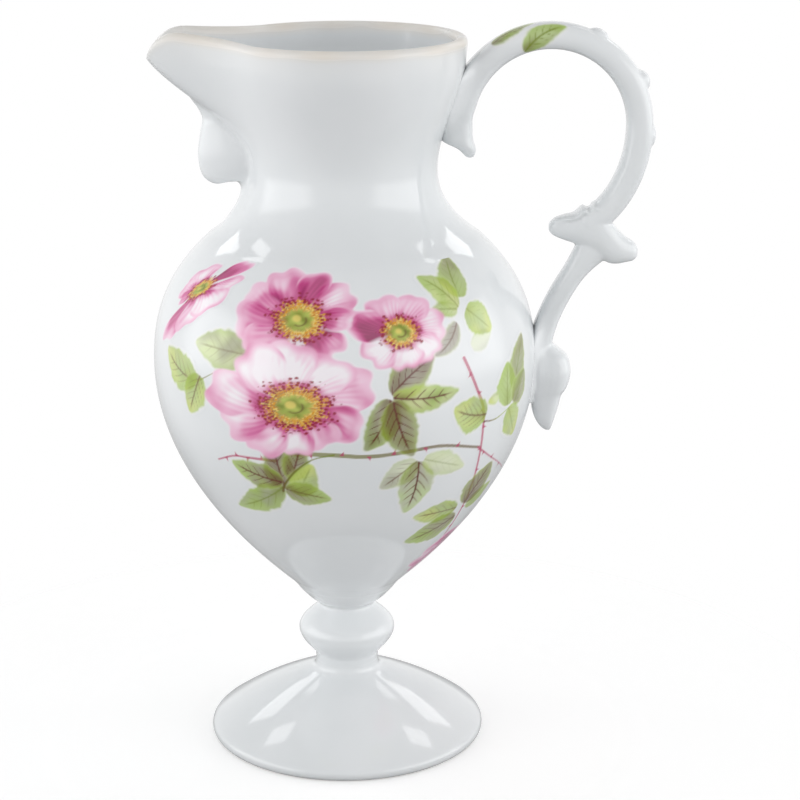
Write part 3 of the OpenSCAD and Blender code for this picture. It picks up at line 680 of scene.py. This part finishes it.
def front_spray(spray):
    """The large spray. Places are degrees round the bowl from its front, and heights in millimetres."""
    twig, leaf, rose = spray.twig, spray.leaf, spray.rose
    # Twigs: the places that each runs through, its thickness, the colours of its ends, its thorns.
    twig([(38, 116), (42, 108), (45, 102), (46, 95), (47.5, 86), (49.5, 78), (51.5, 70), (54, 61)],
         1.0, rose_twig, rose_twig, 9)
    twig([(-16, 94), (-3, 94), (7.5, 93.4), (17, 93.8), (30.5, 94.3), (45.5, 91.4)], 1.3, olive, brown, 6)
    twig([(45.5, 98.4), (51, 98), (58, 99.7)], 0.6, rust, green)
    twig([(45.3, 91.3), (54.5, 86.5), (70, 80)], 0.7, rose_twig, rose_twig, 3)
    twig([(-20, 91.4), (-28, 91.3), (-34, 91), (-41, 88.8)], 0.8, rose_twig, rose_twig, 4)
    twig([(-47.5, 108.5), (-43.7, 110), (-39.6, 112)], 0.5, rust, moss)
    # Sprig at the top right: each leaf's place, direction, length, width, colours, veins, bend and cover.
    leaf(38, 125, 222, 12, 5, brown, brown, rust, 0.3, 0.4, 0.75)
    leaf(41, 118, 20, 9, 5, haze, haze, moss, 0.0, 0.0, 0.6)
    leaf(42.5, 129.5, 78, 13, 8.6, green, olive, moss, 0.25, 0.3)
    leaf(40.5, 127.5, 129, 13.5, 7.5, lime, green, moss, 0.3, -0.3)
    leaf(40, 127.5, 172, 8, 4.5, haze, green, moss, 0.2)
    leaf(42.7, 127.5, 315, 10.5, 9.2, green, lime, moss, 0.2)
    # Leaves in the middle
    leaf(14.2, 109, 37, 15, 9.5, brown, brown, rust, 0.8, 0.2)
    leaf(14.4, 108.6, 0, 19, 7.2, lime, green, rust, 0.85, -0.2)
    leaf(14.2, 108.6, 245, 15.5, 8.6, brown, moss, rust, 0.85, 0.3)
    leaf(14.9, 108, 290, 17, 9.6, brown, olive, rust, 0.85, -0.2)
    # Single round leaf, and the sprig at the right edge
    leaf(47, 100.3, 163, 12.5, 9.8, green, lime, rust, 0.5, 0.3)
    leaf(59.5, 103.5, 62, 16, 8.5, moss, olive, moss, 0.3, 0.2)
    leaf(57, 100, 92, 12.5, 9.4, green, green, moss, 0.3, 0.2)
    leaf(60.4, 99.9, 53, 10.5, 8, olive, moss, moss, 0.3)
    leaf(57.3, 100, 305, 12, 8.4, green, lime, moss, 0.2)
    leaf(52, 104, 190, 5, 3, haze, lime, moss, 0.0)
    # Leaves at the left
    leaf(-46, 108.6, 158, 16.5, 10, green, lime, rust, 0.4, 0.3)
    leaf(-44.5, 111, 246, 12.5, 8.6, green, lime, rust, 0.4)
    leaf(-27, 118, 178, 18.5, 10.5, olive, haze, brown, 0.2)
    # Leaves below
    leaf(-17.8, 83, 98, 15.5, 8.6, brown, brown, rust, 0.7)
    leaf(-15.5, 86, 72, 12, 7, brown, olive, rust, 0.6)
    leaf(-14.5, 81.5, 64, 12, 7.5, green, lime, moss, 0.2)
    leaf(-18.2, 84, 212, 19, 8.5, moss, green, moss, 0.4, 0.2)
    leaf(-18, 85.3, 163, 15.5, 8, brown, green, rust, 0.7, 0.2)
    leaf(-18.4, 83.4, 347, 12.5, 7.6, olive, green, brown, 0.4)
    leaf(23.5, 91.3, 221, 12.5, 7.6, haze, olive, rust, 0.4, 0.0, 0.7)
    leaf(23.5, 91.3, 267, 18, 9.6, olive, green, rust, 0.85, 0.2, 0.75)
    leaf(24.8, 91.4, 340, 14.5, 7.6, haze, haze, moss, 0.15, 0.0, 0.75)
    leaf(53, 71.5, 42, 11, 6.5, green, green, moss, 0.2)
    leaf(50.5, 73.2, 72, 14.5, 11, brown, olive, rust, 0.7, 0.2)
    leaf(47.3, 73.1, 179, 15, 8, green, lime, rust, 0.4)
    leaf(50, 70.2, 207, 15.5, 11, olive, green, rust, 0.6, 0.2)
    twig([(-18.9, 82.6), (-17.8, 84.8), (-13.7, 89), (-8.3, 92.5), (-2, 94)], 0.6, brown, moss)
    # Blooms, the farthest first: each one's place, the size of its heart, and its petals
    rose(-55, 130.3, 5.4, [(87, 15.5, 0.55, 0.35), (130, 13, 0.5, 0.5), (165, 10, 0.5, 0.7),
                           (219, 24, 0.34, 0.75), (250, 21, 0.4, 0.3), (310, 17, 0.45, 0.25),
                           (280, 20, 0.45, 0.08), (5, 16.5, 0.40, 1.0)], 0.42, 0.7)
    rose(79, 57.5, 5, [(90, 16, 0.6, 0.9), (160, 17, 0.6, 0.8), (220, 17, 0.6, 0.7), (300, 15, 0.6, 0.8),
                       (20, 15, 0.6, 0.8)], 0.8)
    rose(18.3, 124, 5.2, [(12, 13, 0.6, 0.3), (66, 13, 0.5, 0.4), (116, 13, 0.48, 0.55),
                          (322, 12, 0.6, 0.15), (278, 11.5, 0.6, 0.05), (228, 13, 0.5, 0.12),
                          (168, 13.5, 0.54, 1.0)], 0.82, -0.08)
    rose(-12.7, 127, 7.0, [(40, 16.5, 0.46, 0.45), (152, 17.5, 0.44, 0.55), (186, 19, 0.44, 0.7),
                           (222, 18, 0.5, 0.6), (112, 18.5, 0.42, 0.75), (312, 15.5, 0.48, 0.95),
                           (5, 13.8, 0.40, 0.8), (80, 18, 0.30, 0.95)], 0.80)
    rose(-13, 106.4, 9.0, [(18, 22, 0.40, 0.35), (336, 18.8, 0.42, 0.85), (304, 15.8, 0.44, 0.35),
                           (268, 16, 0.42, 0.25), (236, 20, 0.36, 0.3), (202, 23, 0.36, 0.35),
                           (172, 26, 0.36, 0.25), (50, 19.5, 0.44, 0.1), (92, 20.5, 0.42, 0.05),
                           (128, 21.5, 0.46, 0.0)], 0.84, 0.03, 1.25)


def back_spray(spray):
    """The small spray of one bloom."""
    twig, leaf, rose = spray.twig, spray.leaf, spray.rose
    twig([(163, 118), (172, 110), (182, 104), (193, 100), (203, 101)], 1.1, moss, rose_twig, 5)
    leaf(166, 114, 150, 15, 8, brown, green, rust, 0.7, 0.2)
    leaf(168, 112, 240, 14, 8, moss, green, rust, 0.7)
    leaf(196, 100, 60, 13, 7, olive, green, rust, 0.6, 0.2)
    leaf(199, 100, -40, 14, 7, green, haze, moss, 0.4, -0.2)
    leaf(190, 101, -100, 13, 8, brown, olive, rust, 0.7)
    rose(180, 112, 6.4, [(15, 17, 0.44, 0.8), (65, 16, 0.46, 0.4), (115, 17, 0.46, 0.3),
                         (165, 17, 0.46, 0.9), (215, 16, 0.46, 0.2), (265, 16, 0.46, 0.1),
                         (315, 17, 0.46, 0.5)], 0.82)


def transfer(name, first, last, draw):
    """A thin sheet of enamel on the bowl between two angles, cut back to its paint."""
    m_low, m_high = np.interp((print_low, print_high), skin_z, skin_m)
    columns = int(math.radians(last - first) * belly_r / print_step)
    rows = int((m_high - m_low) / print_step)

    def angle_height(column, row):
        angle = np.radians(first + (last - first) * column / columns)
        return angle, np.interp(m_low + (m_high - m_low) * row / rows, skin_m, skin_z)

    def sheet_point(column, row):
        angle, z = angle_height(column, row)
        lean = np.arctan(np.interp(z, skin_z, np.gradient(skin_r, skin_z)))
        r = np.interp(z, skin_z, skin_r) + film_gap * np.cos(lean)
        return np.column_stack([r * np.sin(angle), -r * np.cos(angle), z - film_gap * np.sin(lean)])

    def sheet_paint(column, row):
        angle, z = angle_height(column, row)
        r, m = np.interp(z, skin_z, skin_r), np.interp(z, skin_z, skin_m)
        spray = Spray(len(z), lambda a, up: ((angle - math.radians(a)) * r,
                                             m - np.interp(up, skin_z, skin_m)))
        draw(spray)
        return np.column_stack([spray.colour, spray.cover])

    sheet = wrapped(name, columns, rows, sheet_point, sheet_paint, closed=False)
    mesh = sheet.data
    colour = np.empty(4 * len(mesh.vertices), np.float32)
    mesh.attributes["paint"].data.foreach_get("color", colour)
    corner = np.empty(4 * len(mesh.polygons), int)
    mesh.polygons.foreach_get("vertices", corner)
    bare = colour.reshape(-1, 4)[:, 3][corner.reshape(-1, 4)].max(axis=1) < 0.01
    bpy.ops.object.mode_set(mode="EDIT")
    bpy.ops.mesh.select_all(action="DESELECT")
    bpy.ops.object.mode_set(mode="OBJECT")
    mesh.polygons.foreach_set("select", bare)
    bpy.ops.object.mode_set(mode="EDIT")
    bpy.ops.mesh.delete(type="FACE")
    bpy.ops.mesh.select_all(action="SELECT")
    bpy.ops.mesh.delete_loose()
    bpy.ops.object.mode_set(mode="OBJECT")
    film = sheet.modifiers.new("film", "SOLIDIFY")
    film.thickness = film_t
    film.offset = -1
    bpy.ops.object.modifier_apply(modifier=film.name)
    bpy.ops.object.shade_smooth_by_angle(angle=math.radians(30))
    mesh.materials.append(glaze(name + "_enamel", painted=True, matt=0.02))
    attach(sheet, "root")


for name, first, last, draw in (("transfer_left", -90, -27, front_spray),
                                ("transfer_middle", -27, 12, front_spray),
                                ("transfer_right", 12, 50, front_spray),
                                ("transfer_side", 50, 105, front_spray),
                                ("transfer_back", 135, 225, back_spray)):
    transfer(name, first, last, draw)

# On the handle, places are degrees round the scroll and degrees round its section.
scroll_half = 4
spot_x, spot_y, spot_z = points_of(handle).T * 1000
spot_a = np.where(spot_z > loop_z, np.arctan2(spot_z - loop_z, spot_x - loop_x), -9)
spot_b = np.arctan2(np.hypot(spot_x - loop_x, spot_z - loop_z) - loop_r, -spot_y)
spray = Spray(len(spot_x), lambda a, b: ((math.radians(a) - spot_a) * loop_r,
                                         (spot_b - math.radians(b)) * scroll_half))
spray.leaf(127, 42, 14, 12, 4.5, moss, green, brown, 0.5)
spray.leaf(111, -42, 26, 13.5, 5.6, green, green, moss, 0.7, 0.2)
print_on = handle.data.attributes.new("paint", "FLOAT_COLOR", "POINT")
print_on.data.foreach_set("color", np.column_stack([spray.colour, spray.cover]).ravel())

# Slip. Thin layers of fired slip that lute the castings together. On the stem the glaze rounds the two
# joints over. On the handle only the edges of the layers show.
foot_low, foot_high, foot_in, foot_swell, foot_sunk = 18.4, 21.6, 5.6, 0.07, 0.02
cup_low, cup_high, cup_low_slope, cup_high_slope, cup_sunk = 41.4, 45.8, 0.85, 1.13, 0.04
foot_swells = np.sin(np.linspace(0, math.pi, 15)) * foot_swell - foot_sunk
foot_bead = [(crown_at(min(z, foot_h)) + swell, z)
             for z, swell in zip(np.linspace(foot_low, foot_high, 15), foot_swells)]
cup_bead = [(float(curve(z, cup_low, stem_r(cup_low) - cup_sunk, cup_low_slope,
                         cup_high, body_r(cup_high) - cup_sunk, cup_high_slope)), z)
            for z in np.linspace(cup_low, cup_high, 17)]
foot_bead = [(foot_in, foot_low), *foot_bead, (foot_in, foot_high), (foot_in, foot_low)]
cup_bead = [(0, cup_low), *cup_bead, (0, cup_high)]
for name, node, line in (("foot_joint", "foot_slip", foot_bead), ("stem_joint", "stem_slip", cup_bead)):
    joint = turned(name, line, 96)
    joint.data.materials.append(glaze(name + "_glaze"))
    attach(joint, "root")
    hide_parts(node)
slip_glaze = glaze("slip_glaze")
for name in ("handle_root_slip", "handle_base_slip"):
    slip = bpy.data.objects[name]
    slip.data.materials.clear()
    slip.data.materials.append(slip_glaze)

# Floor. A plain pale table top of matt board, on which the jug stands loose. It takes the jug's soft
# shadow, and fades out into a white ground.
board_r, fade_from, fade_to = 0.9, 0.04, 0.20
board, board_seen = (0.50, 0.50, 0.50, 1), (0.78, 0.78, 0.78, 1)
unlit, lift = (0, 0, 0, 1), (0.36, 0.36, 0.36, 1)
bpy.ops.object.select_all(action="DESELECT")
bpy.ops.mesh.primitive_circle_add(vertices=96, radius=board_r, fill_type="NGON")
floor = bpy.context.object
floor.name = "floor"
floor_paint = bpy.data.materials.new("floor_paint")
floor_paint.use_nodes = True
floor_tree = floor_paint.node_tree
floor_shader = floor_tree.nodes["Principled BSDF"]
floor_shader.inputs["Roughness"].default_value = 0.9
floor_shader.inputs["Specular IOR Level"].default_value = 0.0
floor_shader.inputs["Emission Strength"].default_value = 1.0
floor_start = Value(floor_tree, None)
floor_place = floor_start.node("ShaderNodeTexCoord", output=3)
floor_far = floor_start.node("ShaderNodeVectorMath", floor_place, operation="LENGTH", output=1)
floor_seen = floor_start.node("ShaderNodeLightPath")
for socket, share in (("Alpha", 1 - floor_far.ramp(fade_from, fade_to)),
                      ("Emission Color", floor_seen.mix(unlit, lift)),
                      ("Base Color", floor_seen.mix(board, board_seen))):
    floor_tree.links.new(share.socket, floor_shader.inputs[socket])
floor.data.materials.append(floor_paint)

# Light. On either side stands a wide soft panel, brighter towards its middle, and behind the jug are three
# dim panes high up. The room round them is pale, darker above and below, and looks white from the camera.
aim = np.array((0, 0, 0.12))
panel_x, panel_step, panel_y, panel_z = 0.86, 0.002, -0.27, 0.27
panel_w, panel_h, panel_power = 1.45, 0.70, 1.6
lamps = []
for side, where in (("left", -1), ("right", 1)):
    lamps.append((f"{side}_window", (0.446 * where, 0.57, 0.585), (0.21, 0.18), 0.25))
    lamps.append((f"{side}_pane", (0.315 * where, 0.485, 0.74), (0.11, 0.11), 0.065))
    lamps.append((f"{side}_skylight", (0.47 * where, 0.26, 0.76), (0.12, 0.16), 0.14))
    for n, share in enumerate((1.0, 0.85, 0.7)):
        lamps.append((f"{side}_panel_{n}", ((panel_x - panel_step * n) * where, panel_y, panel_z),
                      (panel_w * share, panel_h * share), panel_power * share ** 2))
for name, spot, size, power in lamps:
    bpy.ops.object.light_add(type="AREA", location=spot)
    lamp = bpy.context.object
    lamp.name = name
    lamp.data.shape = "RECTANGLE"
    lamp.data.size, lamp.data.size_y = size
    lamp.data.energy = power
    lamp.visible_camera = False
    way = aim - spot
    lamp.rotation_euler = (math.atan2(math.hypot(way[0], way[1]), -way[2]), 0,
                           math.atan2(way[1], way[0]) - math.pi / 2)
room_dark, room_side, room_white = (0.10, 0.10, 0.10, 1), (0.68, 0.68, 0.68, 1), (1, 1, 1, 1)
room_pale, room_top, room_gloss = (1.02, 1.02, 1.02, 1), (0.42, 0.42, 0.42, 1), 0.15
room = bpy.data.worlds.new("room")
bpy.context.scene.world = room
room.use_nodes = True
room_tree = room.node_tree
room_path = Value(room_tree, None).node("ShaderNodeLightPath")
room_glossy = Value(room_tree, room_path.socket.node.outputs["Is Glossy Ray"])
room_seen = room_path.maths("MAXIMUM", room_path, room_glossy * room_gloss)
room_way = room_path.node("ShaderNodeTexCoord")
room_up = room_path.node("ShaderNodeSeparateXYZ", room_way, output=2)
room_across = Value(room_tree, room_up.socket.node.outputs["X"])
room_below = (room_across * room_across).ramp(0.1, 0.7).mix(room_dark, room_side)
room_wall = room_up.ramp(-0.6, 0.0).mix(room_below, room_pale)
room_light = room_up.ramp(0.1, 0.9).mix(room_wall, room_top)
room_shade = room_seen.mix(room_light, room_white)
room_tree.links.new(room_shade.socket, room_tree.nodes["Background"].inputs["Color"])

# Camera. It stands in front of the jug and a little above its rim, and looks down on it at the
# photograph's angle, through a long lens.
eye_x, eye_y, eye_z, look_down, lens = 0.01457, -0.5849, 0.2656, 16.37, 103.0
bpy.ops.object.camera_add(location=(eye_x, eye_y, eye_z), rotation=(math.radians(90 - look_down), 0, 0))
camera = bpy.context.object
camera.name = "photo_view"
camera.data.sensor_width = 36
camera.data.lens = lens
bpy.context.scene.camera = camera
bpy.context.scene.view_settings.view_transform = "Standard"
